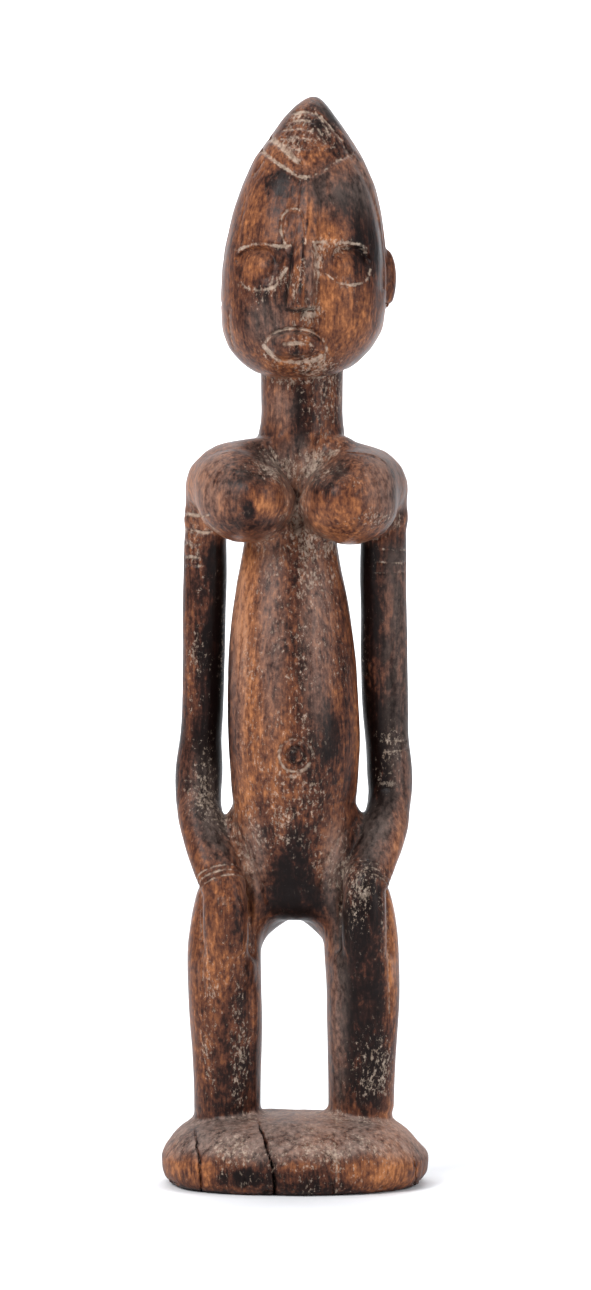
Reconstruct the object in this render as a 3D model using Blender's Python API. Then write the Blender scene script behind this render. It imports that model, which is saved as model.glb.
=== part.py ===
"""Carved wooden standing figure: one block of wood, given as its carved members.

Every member is a loft through level sections, or an ellipsoid, in its own object. The members touch
face to face: each one is cut back by the neighbours that were made before it, which are swollen by GAP.
Frame: +Z up, the figure faces -Y, and the origin is the centre of the plinth's flat underside.
"left" and "right" are the figure's own, so its right arm is on the -X side.
Section tables are in millimetres. Each row is one level section:
(height, centre x, centre y, half width, reach to the front, reach to the back).
"""

import math

import bpy
import numpy as np
from mathutils import Euler, Matrix, Vector

MM = 0.001
HEIGHT = 420.0
GAP = 0.3
RIGHT, LEFT = -1.0, 1.0

# The plinth is a pebble: a flat foot, a bulging side and a low domed top.
PLINTH_HALF_WIDTH = 52.0
PLINTH_HALF_DEPTH = 42.0
PLINTH_TOP = 27.2
PLINTH_LEVELS = (  # height, share of the half width, share of the half depth
    (0.0, 0.91, 0.89),
    (1.6, 0.958, 0.948),
    (5.0, 0.992, 0.990),
    (10.0, 1.0, 1.0),
    (15.0, 0.985, 0.976),
    (19.0, 0.935, 0.895),
    (22.5, 0.840, 0.760),
    (25.2, 0.690, 0.580),
    (26.7, 0.470, 0.360),
    (PLINTH_TOP, 0.250, 0.180),
)

WAIST = 147.0
ELBOW = 152.0
WRIST = 113.5
ARMPIT = 252.0
COLLAR = 289.0

LEG = {
    RIGHT: (
        (18.0, -26.8, 1.0, 12.2, 13.0, 13.0),
        (34.0, -26.8, 0.0, 12.2, 13.0, 13.0),
        (52.0, -27.0, -2.0, 12.8, 13.8, 13.0),
        (70.0, -27.6, -3.5, 13.6, 14.5, 13.5),
        (88.0, -27.9, -2.0, 13.6, 13.5, 15.0),
        (104.0, -27.3, 1.0, 12.8, 13.0, 16.0),
        (116.0, -26.5, 3.0, 10.5, 11.5, 14.0),
    ),
    LEFT: (
        (18.0, 26.4, 1.0, 11.9, 13.0, 13.0),
        (34.0, 26.4, 0.0, 12.0, 13.0, 13.0),
        (52.0, 26.6, -2.0, 12.6, 13.8, 13.0),
        (70.0, 26.8, -3.5, 13.4, 14.5, 13.5),
        (88.0, 26.5, -2.0, 13.6, 13.5, 15.0),
        (104.0, 26.2, 1.0, 12.8, 13.0, 16.0),
        (116.0, 25.5, 3.0, 10.5, 11.5, 14.0),
    ),
}

PELVIS = (
    (103.4, 0.0, 4.0, 9.0, 8.0, 12.0),
    (107.0, 0.0, 4.0, 16.0, 12.0, 18.0),
    (114.0, 0.0, 3.5, 22.5, 15.0, 21.0),
    (124.0, 0.0, 2.0, 25.0, 17.5, 22.5),
    (136.0, -0.2, -0.5, 24.6, 19.8, 22.0),
    (WAIST, -0.4, -2.0, 23.8, 21.2, 20.0),
)
HIPS = (
    (104.0, 0.0, 8.0, 29.0, 8.0, 12.0),
    (108.0, 0.0, 7.0, 33.0, 11.0, 17.0),
    (116.0, 0.0, 6.0, 35.0, 13.0, 19.5),
    (126.0, 0.0, 4.5, 34.0, 13.0, 20.0),
    (137.0, 0.0, 2.5, 29.5, 14.0, 19.5),
    (WAIST, -0.3, 0.0, 23.6, 16.0, 18.0),
)
BUTTOCK_AT = (16.5, 12.5, 114.5)
BUTTOCK_RADII = (18.5, 16.5, 17.5)

TORSO = (
    (WAIST + GAP, -0.4, -2.0, 23.8, 21.2, 20.0),
    (156.0, -0.3, -3.0, 24.4, 22.5, 19.0),
    (168.0, -0.4, -4.0, 25.2, 23.5, 18.5),
    (182.0, -0.6, -4.0, 25.3, 23.5, 18.5),
    (200.0, -1.1, -3.0, 24.7, 22.3, 18.0),
    (218.0, -1.5, -2.0, 23.0, 20.3, 17.0),
    (232.0, -1.7, -1.0, 21.0, 18.0, 16.0),
    (246.0, -1.8, 0.0, 18.2, 15.5, 15.0),
    (ARMPIT - GAP, -1.7, 1.0, 17.5, 14.0, 15.0),
)
NAVEL_AT = (0.2, -27.3, 167.5)
NAVEL_RADII = (3.9, 2.6, 3.9)

SHOULDERS = (
    (ARMPIT, 0.4, 3.5, 41.8, 11.0, 12.0),
    (257.0, 0.5, 3.0, 42.5, 12.5, 13.5),
    (263.0, 0.6, 2.5, 42.8, 13.0, 14.5),
    (271.0, 0.7, 2.5, 42.2, 13.5, 14.5),
    (277.0, 0.7, 2.5, 39.8, 13.8, 14.3),
    (282.0, 0.6, 2.0, 35.0, 14.2, 14.4),
    (286.0, 1.5, 1.5, 27.0, 14.8, 15.0),
    (COLLAR, 2.5, 1.0, 19.0, 15.6, 15.8),
)
BREAST = {  # centre, radii
    RIGHT: ((-18.7, -17.0, 263.8), (18.8, 22.0, 15.4)),
    LEFT: ((20.9, -17.0, 262.8), (18.6, 22.0, 15.2)),
}
CHEST = {  # the fuller ground between each breast and its shoulder: centre, radii
    RIGHT: ((-22.6, -7.0, 270.5), (18.6, 14.0, 14.5)),
    LEFT: ((24.2, -7.0, 270.0), (18.2, 14.0, 14.5)),
}
BREAST_LEAN = -12.0  # degrees about X, which lays the breasts' tops back

UPPER_ARM = {
    RIGHT: (
        (ELBOW + GAP, -37.6, 8.0, 7.8, 8.8, 8.8),
        (164.0, -36.7, 8.5, 7.6, 8.5, 8.5),
        (180.0, -35.7, 8.0, 7.5, 8.0, 8.0),
        (205.0, -35.0, 7.0, 7.7, 8.0, 8.0),
        (230.0, -34.6, 6.0, 7.8, 8.2, 8.2),
        (ARMPIT - GAP, -34.2, 4.6, 7.6, 8.6, 8.6),
    ),
    LEFT: (
        (ELBOW + GAP, 36.9, 8.0, 7.5, 8.8, 8.8),
        (164.0, 35.7, 8.5, 7.7, 8.5, 8.5),
        (180.0, 34.8, 8.0, 8.3, 8.0, 8.0),
        (205.0, 34.2, 7.0, 8.6, 8.0, 8.0),
        (230.0, 33.9, 6.0, 8.4, 8.2, 8.2),
        (ARMPIT - GAP, 34.0, 4.6, 8.4, 8.6, 8.6),
    ),
}
FOREARM = {
    RIGHT: (
        (WRIST, -27.0, -15.8, 8.4, 7.5, 7.5),
        (119.0, -28.5, -13.0, 9.2, 9.0, 9.0),
        (128.0, -32.0, -7.5, 9.3, 10.0, 10.0),
        (138.0, -35.5, -1.0, 9.0, 10.5, 10.5),
        (147.0, -37.4, 4.6, 8.4, 10.3, 10.3),
        (ELBOW, -37.6, 7.4, 7.9, 9.2, 9.2),
    ),
    LEFT: (
        (WRIST, 26.8, -15.8, 8.4, 7.5, 7.5),
        (119.0, 27.6, -13.0, 9.2, 9.0, 9.0),
        (128.0, 31.2, -7.5, 9.4, 10.0, 10.0),
        (138.0, 34.6, -1.0, 9.0, 10.5, 10.5),
        (147.0, 36.3, 4.6, 8.1, 10.3, 10.3),
        (ELBOW, 36.9, 7.4, 7.6, 9.2, 9.2),
    ),
}
HAND = (  # heights, centres and sizes for the left side; the right hand is its mirror image
    (76.0, 26.6, -12.0, 6.0, 5.0, 4.0),
    (82.0, 26.6, -13.2, 7.8, 6.5, 4.0),
    (92.0, 26.6, -15.0, 8.5, 7.2, 4.0),
    (104.0, 26.6, -16.4, 8.7, 7.6, 5.0),
    (WRIST - GAP, 26.8, -15.8, 8.4, 7.5, 6.0),
)

NECK = (
    (COLLAR + GAP, 2.6, 1.0, 17.2, 15.2, 15.4),
    (293.0, 2.7, 1.0, 16.1, 14.8, 15.0),
    (304.0, 2.7, 0.5, 15.8, 14.4, 15.0),
    (322.0, 2.7, 0.0, 15.8, 14.4, 15.5),
)

HEAD = (
    (311.5, 2.0, 0.0, 13.0, 20.0, 14.0),
    (314.0, 1.8, 0.0, 18.0, 25.0, 17.0),
    (318.0, 1.6, 0.0, 22.8, 28.5, 20.0),
    (323.0, 2.0, 0.0, 27.4, 31.0, 23.5),
    (330.0, 2.8, 0.0, 30.8, 33.0, 28.0),
    (341.0, 3.3, 0.0, 31.9, 34.0, 31.5),
    (352.0, 3.7, 0.0, 31.8, 34.2, 33.5),
    (362.0, 4.0, 0.0, 30.9, 33.6, 34.0),
    (374.0, 4.6, 0.0, 28.8, 31.6, 33.0),
    (386.0, 5.3, 0.0, 25.4, 28.0, 30.5),
    (396.0, 5.3, 0.0, 20.9, 23.4, 27.5),
    (404.0, 5.8, 0.0, 15.4, 18.6, 24.0),
    (411.0, 6.0, 0.0, 10.4, 13.6, 19.5),
    (416.0, 6.5, 0.0, 6.2, 9.6, 14.5),
    (HEIGHT - 1.0, 7.2, 0.0, 2.9, 5.6, 9.0),
    (HEIGHT, 7.6, 0.0, 1.3, 3.2, 6.0),
)
FACE_BACK = -4.0  # the face's side edges lie in this level plane across the head
FACE_FAR_FRONT = -60.0
FACE_OUTLINE = (  # x and z: below it is the face, and above it the pointed lock of hair
    (-50.0, 300.0),
    (50.0, 300.0),
    (50.0, 402.0),
    (23.8, 398.6),
    (4.4, 388.6),
    (-12.7, 400.0),
    (-50.0, 408.0),
)
NOSE = (
    (338.8, 2.2, -34.0, 5.3, 6.4, 6.0),
    (341.5, 2.3, -34.2, 5.1, 6.2, 6.0),
    (351.0, 2.8, -34.2, 4.4, 4.6, 6.0),
    (362.0, 3.0, -33.6, 4.0, 2.8, 6.0),
    (371.0, 2.0, -32.0, 4.6, 1.6, 6.0),
    (378.5, 1.0, -30.0, 3.6, 1.2, 6.0),
)
EYE_AT = {RIGHT: (-16.1, -28.6, 354.6), LEFT: (20.8, -29.3, 355.0)}
EYE_RADII = (5.4, 3.4, 4.6)
LIPS_AT = (0.6, -31.0, 324.4)
LIPS_RADII = (10.2, 3.6, 4.8)
EAR = {  # centre, radii
    RIGHT: ((-24.6, 13.0, 350.0), (4.0, 6.0, 11.5)),
    LEFT: ((34.8, 5.0, 350.0), (4.2, 6.0, 11.8)),
}

LOFT_SIDES = 24
BALL_SIDES = 22
BALL_RINGS = 12
SOFT_SQUARE = 2.3  # superellipse power of a slightly squared section
ROUND = 2.0

WOOD = {
    "worn": ((0.30, 0.13, 0.06, 1.0), 0.42),
    "dark": ((0.10, 0.045, 0.025, 1.0), 0.40),
    "dusty": ((0.27, 0.17, 0.11, 1.0), 0.60),
}


def clear_scene():
    for item in list(bpy.data.objects):
        bpy.data.objects.remove(item)


def wood_material(finish):
    """The carving's wood in one of its finishes, made once."""
    name = "wood_" + finish
    if name in bpy.data.materials:
        return bpy.data.materials[name]
    material = bpy.data.materials.new(name)
    material.use_nodes = True
    shader = material.node_tree.nodes["Principled BSDF"]
    colour, roughness = WOOD[finish]
    shader.inputs["Base Color"].default_value = colour
    shader.inputs["Roughness"].default_value = roughness
    shader.inputs["Metallic"].default_value = 0.0
    return material


def new_object(name, points, faces):
    """A smooth-shaded mesh object from points in millimetres."""
    mesh = bpy.data.meshes.new(name)
    mesh.from_pydata([Vector(p) * MM for p in points], [], faces)
    mesh.validate()
    item = bpy.data.objects.new(name, mesh)
    bpy.context.scene.collection.objects.link(item)
    mesh.shade_smooth()
    return item


def sections_between(rows, per_span):
    """The rows with per_span levels in each span, on a smooth cubic through every row."""
    rows = np.array(rows, float)
    heights = rows[:, 0]
    slopes = np.gradient(rows[:, 1:], heights, axis=0)
    dense = []
    for i in range(len(rows) - 1):
        span = heights[i + 1] - heights[i]
        for t in np.arange(per_span) / per_span:
            rise, fall = t * t * (3 - 2 * t), 1 - t * t * (3 - 2 * t)
            lead, tail = t * (1 - t) ** 2 * span, -t * t * (1 - t) * span
            values = (fall * rows[i, 1:] + rise * rows[i + 1, 1:]
                      + lead * slopes[i] + tail * slopes[i + 1])
            dense.append((heights[i] + t * span, *values))
    dense.append(tuple(rows[-1]))
    return dense


def section_points(row, power, sides, grow):
    """One level section: a superellipse with its own reach to the front and to the back."""
    height, centre_x, centre_y, half_width, front, back = row
    points = []
    for k in range(sides):
        angle = 2 * math.pi * k / sides
        c, s = math.cos(angle), math.sin(angle)
        across = math.copysign(abs(c) ** (2 / power), c) * (half_width + grow)
        reach = back + grow if s > 0 else front + grow
        along = math.copysign(abs(s) ** (2 / power), s) * reach
        points.append((centre_x + across, centre_y + along, height))
    return points


def loft(name, rows, power=ROUND, per_span=2, sides=LOFT_SIDES, grow=0.0):
    """A closed solid through the sections. A grown one is GAP bigger all over, for cutting."""
    dense = sections_between(rows, per_span)
    if grow:
        dense = [(dense[0][0] - grow, *dense[0][1:]), *dense[1:-1], (dense[-1][0] + grow, *dense[-1][1:])]
    points = [p for row in dense for p in section_points(row, power, sides, grow)]
    faces = [tuple(reversed(range(sides)))]
    for ring in range(len(dense) - 1):
        for k in range(sides):
            a, b = ring * sides + k, ring * sides + (k + 1) % sides
            faces.append((a, b, b + sides, a + sides))
    top = (len(dense) - 1) * sides
    faces.append(tuple(range(top, top + sides)))
    return new_object(name, points, faces)


def ball(name, centre, radii, turn=(0.0, 0.0, 0.0), grow=0.0):
    """An ellipsoid, turned by turn, in degrees."""
    points = [(0.0, 0.0, -1.0)]
    for ring in range(1, BALL_RINGS):
        tilt = math.pi * ring / BALL_RINGS - math.pi / 2
        for k in range(BALL_SIDES):
            angle = 2 * math.pi * k / BALL_SIDES
            points.append((math.cos(tilt) * math.cos(angle), math.cos(tilt) * math.sin(angle), math.sin(tilt)))
    points.append((0.0, 0.0, 1.0))
    last = len(points) - 1
    faces = []
    for k in range(BALL_SIDES):
        after = (k + 1) % BALL_SIDES
        faces.append((0, 1 + after, 1 + k))
        faces.append((last, last - BALL_SIDES + k, last - BALL_SIDES + after))
        for ring in range(BALL_RINGS - 2):
            a, b = 1 + ring * BALL_SIDES + k, 1 + ring * BALL_SIDES + after
            faces.append((a, b, b + BALL_SIDES, a + BALL_SIDES))
    spin = Euler([math.radians(a) for a in turn]).to_matrix()
    size = Matrix.Diagonal([r + grow for r in radii])
    placed = [spin @ size @ Vector(p) + Vector(centre) for p in points]
    return new_object(name, placed, faces)


def prism(name, outline, front, back):
    """The outline, in x and z, drawn out along Y from front to back."""
    count = len(outline)
    points = [(x, front, z) for x, z in outline] + [(x, back, z) for x, z in outline]
    faces = [tuple(range(count)), tuple(reversed(range(count, 2 * count)))]
    faces += [((k + 1) % count, k, count + k, count + (k + 1) % count) for k in range(count)]
    item = new_object(name, points, faces)
    item.data.shade_flat()
    return item


def hide(item):
    """A helper, such as a cutter, which isn't part of the figure."""
    item.hide_render = True
    item.display_type = "WIRE"
    return item


def combine(item, other, operation):
    modifier = item.modifiers.new(operation.lower() + "_" + other.name, "BOOLEAN")
    modifier.operation = operation
    modifier.object = hide(other)


def member(name, shapes, cut_by=(), kept_in=None, finish="worn"):
    """One carved member. shapes are (function, arguments) pairs, of which the first is the main form.

    The main form is cut by a swollen copy of every shape of each member named in cut_by.
    """
    make, arguments = shapes[0]
    item = make(name, **arguments)
    for k, (make, arguments) in enumerate(shapes[1:]):
        combine(item, make(f"{name}_with_{k}", **arguments), "UNION")
    for neighbour in cut_by:
        for k, (make, arguments) in enumerate(MEMBERS[neighbour]):
            cutter = make(f"{name}_less_{neighbour}_{k}", grow=GAP, **arguments)
            combine(item, cutter, "DIFFERENCE")
    if kept_in:
        combine(item, kept_in, "INTERSECT")
    item.data.materials.append(wood_material(finish))
    MEMBERS[name] = shapes
    return item


def beside(name, side):
    return ("right_" if side == RIGHT else "left_") + name


def mirrored(rows, side):
    return tuple((row[0], side * row[1], *row[2:]) for row in rows)


def plinth():
    rows = [(z, 0.0, 0.0, w * PLINTH_HALF_WIDTH, d * PLINTH_HALF_DEPTH, d * PLINTH_HALF_DEPTH)
            for z, w, d in PLINTH_LEVELS]
    shape = dict(rows=rows, power=SOFT_SQUARE, per_span=1, sides=2 * LOFT_SIDES)
    member("plinth", [(loft, shape)], finish="dusty")


def legs():
    for side in (RIGHT, LEFT):
        shape = dict(rows=LEG[side], power=SOFT_SQUARE)
        member(beside("leg", side), [(loft, shape)], cut_by=["plinth"])


def trunk():
    buttocks = [(ball, dict(centre=(side * BUTTOCK_AT[0], *BUTTOCK_AT[1:]), radii=BUTTOCK_RADII))
                for side in (RIGHT, LEFT)]
    hips = (loft, dict(rows=HIPS, power=SOFT_SQUARE))
    member("pelvis", [(loft, dict(rows=PELVIS)), hips, *buttocks], cut_by=["right_leg", "left_leg"])
    member("torso", [(loft, dict(rows=TORSO))])
    member("navel", [(ball, dict(centre=NAVEL_AT, radii=NAVEL_RADII))], cut_by=["torso"], finish="dark")
    member("shoulders", [(loft, dict(rows=SHOULDERS, power=SOFT_SQUARE, per_span=1, sides=2 * LOFT_SIDES))])
    for side in (RIGHT, LEFT):
        (centre, radii), (chest_centre, chest_radii) = BREAST[side], CHEST[side]
        shape = (ball, dict(centre=centre, radii=radii, turn=(BREAST_LEAN, 0.0, 0.0)))
        chest = (ball, dict(centre=chest_centre, radii=chest_radii))
        member(beside("breast", side), [shape, chest], cut_by=["torso", "shoulders"])


def arms():
    for side in (RIGHT, LEFT):
        breast, upper, fore = (beside(n, side) for n in ("breast", "upper_arm", "forearm"))
        member(upper, [(loft, dict(rows=UPPER_ARM[side]))], cut_by=[breast], finish="dark")
        member(fore, [(loft, dict(rows=FOREARM[side]))], cut_by=["pelvis", beside("leg", side)])
        member(beside("hand", side), [(loft, dict(rows=mirrored(HAND, side)))],
               cut_by=["pelvis", beside("leg", side)])


def head():
    member("neck", [(loft, dict(rows=NECK))], finish="dark")
    skull = (loft, dict(rows=HEAD, power=SOFT_SQUARE, per_span=1, sides=2 * LOFT_SIDES))
    features = [(loft, dict(rows=NOSE, per_span=1, sides=12)), (ball, dict(centre=LIPS_AT, radii=LIPS_RADII))]
    features += [(ball, dict(centre=EYE_AT[side], radii=EYE_RADII)) for side in (RIGHT, LEFT)]
    front = prism("face_zone", FACE_OUTLINE, FACE_FAR_FRONT, FACE_BACK)
    member("face", [skull, *features], cut_by=["neck"], kept_in=front)
    coiffure = member("coiffure", [skull], cut_by=["neck"], finish="dark")
    grown = [(x + math.copysign(GAP, x), z + GAP) for x, z in FACE_OUTLINE]
    combine(coiffure, prism("face_zone_grown", grown, FACE_FAR_FRONT, FACE_BACK + GAP), "DIFFERENCE")
    for side in (RIGHT, LEFT):
        centre, radii = EAR[side]
        member(beside("ear", side), [(ball, dict(centre=centre, radii=radii))], cut_by=["coiffure", "face"])


MEMBERS = {}
clear_scene()
plinth()
legs()
trunk()
arms()
head()
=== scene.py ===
"""The visual model of a standing figure carved from one block of dark, hand-worn wood.

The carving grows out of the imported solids. Their distance fields are joined and softened into one form, the
features and the knife lines are cut into it, and it is meshed as one closed surface. That surface is then
parted where the members meet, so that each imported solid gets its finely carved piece.
Lengths are in millimetres until a mesh is made. The figure faces -Y, and left and right are its own.
"""
import math
from functools import lru_cache

import bmesh
import bpy
import numpy as np
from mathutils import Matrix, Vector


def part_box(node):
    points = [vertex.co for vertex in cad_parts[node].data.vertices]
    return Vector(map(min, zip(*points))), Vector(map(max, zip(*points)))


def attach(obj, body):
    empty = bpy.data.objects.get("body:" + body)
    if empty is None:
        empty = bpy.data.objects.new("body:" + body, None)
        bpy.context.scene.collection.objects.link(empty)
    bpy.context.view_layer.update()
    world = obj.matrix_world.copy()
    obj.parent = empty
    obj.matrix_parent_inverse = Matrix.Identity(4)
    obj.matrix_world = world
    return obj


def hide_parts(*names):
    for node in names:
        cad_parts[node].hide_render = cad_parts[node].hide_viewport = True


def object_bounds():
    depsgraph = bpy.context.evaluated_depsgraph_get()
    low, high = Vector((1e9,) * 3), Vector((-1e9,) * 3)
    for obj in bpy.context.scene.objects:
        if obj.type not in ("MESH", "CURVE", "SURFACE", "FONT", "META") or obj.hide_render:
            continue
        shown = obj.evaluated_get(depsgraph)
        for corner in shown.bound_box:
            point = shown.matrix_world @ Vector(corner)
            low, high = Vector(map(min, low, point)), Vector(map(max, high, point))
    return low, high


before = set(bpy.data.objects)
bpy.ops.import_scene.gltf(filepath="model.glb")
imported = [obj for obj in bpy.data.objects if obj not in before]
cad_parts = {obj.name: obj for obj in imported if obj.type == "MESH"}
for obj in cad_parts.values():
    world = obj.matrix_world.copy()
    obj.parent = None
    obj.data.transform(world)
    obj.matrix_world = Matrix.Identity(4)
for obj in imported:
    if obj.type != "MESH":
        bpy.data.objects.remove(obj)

import openvdb
from mathutils import Vector

MM = 0.001
CAD_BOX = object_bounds()
SIDES = {"right": -1.0, "left": 1.0}

VOXEL = 0.8
BAND = 11  # voxels on each side of a surface where its distance field holds true distances
MARGIN = 5.0


@lru_cache(maxsize=None)
def box(node):
    """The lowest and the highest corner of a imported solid."""
    return tuple(np.array(corner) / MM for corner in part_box(node))


def middle(node):
    return sum(box(node)) / 2


# ---------------------------------------------------------------- distance fields on a grid
LOW, HIGH = (np.array(corner) / MM for corner in CAD_BOX)
FIRST = np.floor((LOW - MARGIN) / VOXEL).astype(int)
SHAPE = tuple(np.ceil((HIGH + MARGIN) / VOXEL).astype(int) - FIRST + 1)


def solid_field(node):
    """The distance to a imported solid's surface on the grid, negative inside."""
    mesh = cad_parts[node].data
    mesh.calc_loop_triangles()
    points = np.empty(3 * len(mesh.vertices), np.float32)
    mesh.vertices.foreach_get("co", points)
    corners = np.empty(3 * len(mesh.loop_triangles), np.int32)
    mesh.loop_triangles.foreach_get("vertices", corners)
    grid = openvdb.FloatGrid.createLevelSetFromPolygons(
        points.reshape(-1, 3) / MM, triangles=corners.reshape(-1, 3).astype(np.uint32),
        transform=openvdb.createLinearTransform(VOXEL), halfWidth=BAND)
    field = np.full(SHAPE, BAND * VOXEL, np.float32)
    grid.copyToArray(field, ijk=tuple(int(i) for i in FIRST))
    return field


def surface_of(field, first=FIRST):
    """The points and the quads of the surface where the field is 0."""
    grid = openvdb.FloatGrid(BAND * VOXEL)
    grid.copyFromArray(np.ascontiguousarray(field, np.float32), ijk=tuple(int(i) for i in first))
    grid.transform = openvdb.createLinearTransform(VOXEL)
    return grid.convertToQuads(0.0)


def flush(*fields):
    """A plain union, for members that meet on one smooth surface."""
    return np.minimum.reduce(fields)


def blended(a, b, fillet):
    """A union with a soft fillet in the corner between the two; the fillet may be a field itself."""
    overlap = np.maximum(fillet - np.abs(a - b), 0) / fillet
    return np.minimum(a, b) - overlap**2 * fillet / 4


def softened(field, radius):
    """The field under a Gaussian, which wears away facets, edges and the gaps between members."""
    reach = int(math.ceil(2.5 * radius / VOXEL))
    weights = np.exp(-0.5 * (np.arange(-reach, reach + 1) * VOXEL / radius) ** 2).astype(np.float32)
    weights /= weights.sum()
    for axis in range(3):
        padding = [(reach, reach) if a == axis else (0, 0) for a in range(3)]
        padded = np.moveaxis(np.pad(field, padding, mode="edge"), axis, 0)
        length = field.shape[axis]
        total = sum(w * padded[k:k + length] for k, w in enumerate(weights))
        field = np.moveaxis(total, 0, axis)
    return np.ascontiguousarray(field)


def ramp(value, start, end):
    """0 before start, 1 after end and smooth between them."""
    share = np.clip((value - start) / (end - start), 0, 1)
    return share * share * (3 - 2 * share)


def both(name):
    """The right and the left member of a pair."""
    return ("right_" + name, "left_" + name)


FEATURE_PLACES = (  # across and up from the middle of the face, and the half width and height
    ((-19.0, -2.0), (8.5, 8.5)),  # right eye
    ((17.3, -1.6), (8.5, 8.5)),  # left eye
    ((-1.0, 2.0), (7.5, 27.0)),  # nose and brow
    ((-3.2, -32.0), (13.5, 8.0)),  # mouth
)


def plain_face(head):
    """The head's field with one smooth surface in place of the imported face's blocked-out features."""
    x, y, z = ((np.arange(SHAPE[axis]) + FIRST[axis]) * VOXEL for axis in range(3))
    across, up = np.meshgrid(x - middle("face")[0], z - middle("face")[2], indexing="ij")
    inside = np.argmax(head < 0, axis=1)
    cells = (np.maximum(inside - back, 0)[:, None] for back in (0, 1))
    behind, before = (np.take_along_axis(head, cell, axis=1)[:, 0] for cell in cells)
    front = y[0] + VOXEL * (inside - behind / np.minimum(behind - before, -1e-3))
    covered = np.zeros_like(across)
    for (u, v), (half_width, half_height) in FEATURE_PLACES:
        reach = np.hypot((across - u) / half_width, (up - v) / half_height)
        covered = np.maximum(covered, 1 - ramp(reach, 0.85, 1.1))
    known = (np.abs(across) < 26.5) & (np.abs(up + 4) < 37) & (covered == 0) & (inside > 0)
    terms = [(i, j) for i in range(7) for j in range(7) if i + j < 8]
    powers = np.stack([(across / 30) ** i * (up / 40) ** j for i, j in terms], axis=-1)
    factors = np.linalg.lstsq(powers[known], front[known], rcond=None)[0]
    smooth = powers @ factors
    slope = np.gradient(smooth, VOXEL)
    ground = (smooth[:, None] - y[:, None]) / np.sqrt(1 + slope[0] ** 2 + slope[1] ** 2)[:, None]
    covered = covered[:, None] * (1 - ramp(y, -14, -8))[:, None]
    return head + (covered * (np.clip(ground, -8, 8) - head)).astype(np.float32)


def head_field():
    """The head with its ears, smooth in front."""
    head = softened(flush(solid_field("face"), solid_field("coiffure")), 1.2)
    ears = softened(flush(*(solid_field(n) for n in both("ear"))), 0.8)
    return blended(softened(plain_face(head), 1.4), ears, 1.5)


def mass(centre, radii):
    """The rough distance to an ellipsoid that fills out the form between two members."""
    axes = [((np.arange(SHAPE[a]) + FIRST[a]) * VOXEL - centre[a]) / radii[a] for a in range(3)]
    reach = np.sqrt(axes[0][:, None, None] ** 2 + axes[1][:, None] ** 2 + axes[2] ** 2)
    return ((reach - 1) * min(radii)).astype(np.float32)


def figure_field():
    """All the members as one soft form."""
    def group(names, wear):
        return softened(flush(*(solid_field(n) for n in names)), wear)

    x, y, z = ((np.arange(SHAPE[axis]) + FIRST[axis]) * VOXEL for axis in range(3))
    x = abs(x)
    trunk = group(["torso", "pelvis"], 2.0) - 0.3
    groin = box("pelvis")[0][2]
    corner = (1 - ramp(x, 15, 20))[:, None] * (1 - ramp(z, groin + 14, groin + 24))
    trunk = blended(trunk, group(both("leg"), 2.0) - 0.2, (4.0 + 12.0 * corner)[:, None].astype(np.float32))
    arms = group(["shoulders", "neck", *both("upper_arm"), *both("forearm"), *both("hand")], 1.2)
    elbow = box("right_forearm")[1][2]
    fuller = ramp(x, 36, 41)[:, None] * ramp(z, elbow + 10, elbow + 25)
    arms = arms - (0.3 + 0.7 * fuller)[:, None].astype(np.float32)
    for side in SIDES.values():
        joint = mass((side * 37.3, 8.0, elbow + 6.0), (8.5 if side < 0 else 7.9, 9.0, 16.0))
        arms = blended(arms, joint, 4.0)
    low, high = box("right_breast")
    flank = ramp(x, 14, 26)[:, None] * ramp(z, low[2] + 8, low[2] + 20)
    upper = ramp(x, 6, 12)[:, None] * ramp(z, high[2] - 16, high[2] - 8)
    soft = (9.0 * np.maximum(flank, upper))[:, None].astype(np.float32)
    breasts = group(both("breast"), 2.0)
    for side in SIDES.values():
        chest = mass((side * 23.5 + 0.5, high[1] - 11, high[2] - 14.5), (17.5, 21.0, 15.5))
        breasts = blended(breasts, chest, 5.0)
    arms = blended(arms + soft * 0.17, breasts + soft * 0.17, soft + 2.5)
    palm, wrist = (corner[2] for corner in box("left_hand"))
    lap = 0.8 + 1.7 * ramp(z, wrist - 4, wrist + 6) + 7.0 * (1 - ramp(z, palm + 6, palm + 20))
    back = ramp(y, 4, 10)[:, None] * (6.0 * ramp(z, low[2] - 12, low[2]))
    cleft = (1 - ramp(x, 8, 18))[:, None, None] * (7.0 * ramp(z, low[2] - 14, low[2] - 4))
    body = blended(trunk, arms, (lap + back + cleft).astype(np.float32))
    body = blended(body, group(["neck"], 1.5) + 0.2, 3.5)
    body = blended(body, head_field() - 0.2, 1.2)
    body = blended(body, group(["plinth"], 1.6), 4.0)
    return blended(body, group(["navel"], 0.5), 0.8)


FIELD = figure_field()


def sampled(grid, points):
    """A grid's values between its points, blended from the 8 corners of each cell."""
    place = points / VOXEL - FIRST
    cell = np.clip(np.floor(place).astype(int), 0, np.array(SHAPE) - 2)
    x, y, z = cell.T
    fx, fy, fz = (place - cell).T
    total = 0.0
    for dx, wx in ((0, 1 - fx), (1, fx)):
        for dy, wy in ((0, 1 - fy), (1, fy)):
            for dz, wz in ((0, 1 - fz), (1, fz)):
                total = total + wx * wy * wz * grid[x + dx, y + dy, z + dz]
    return total


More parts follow.
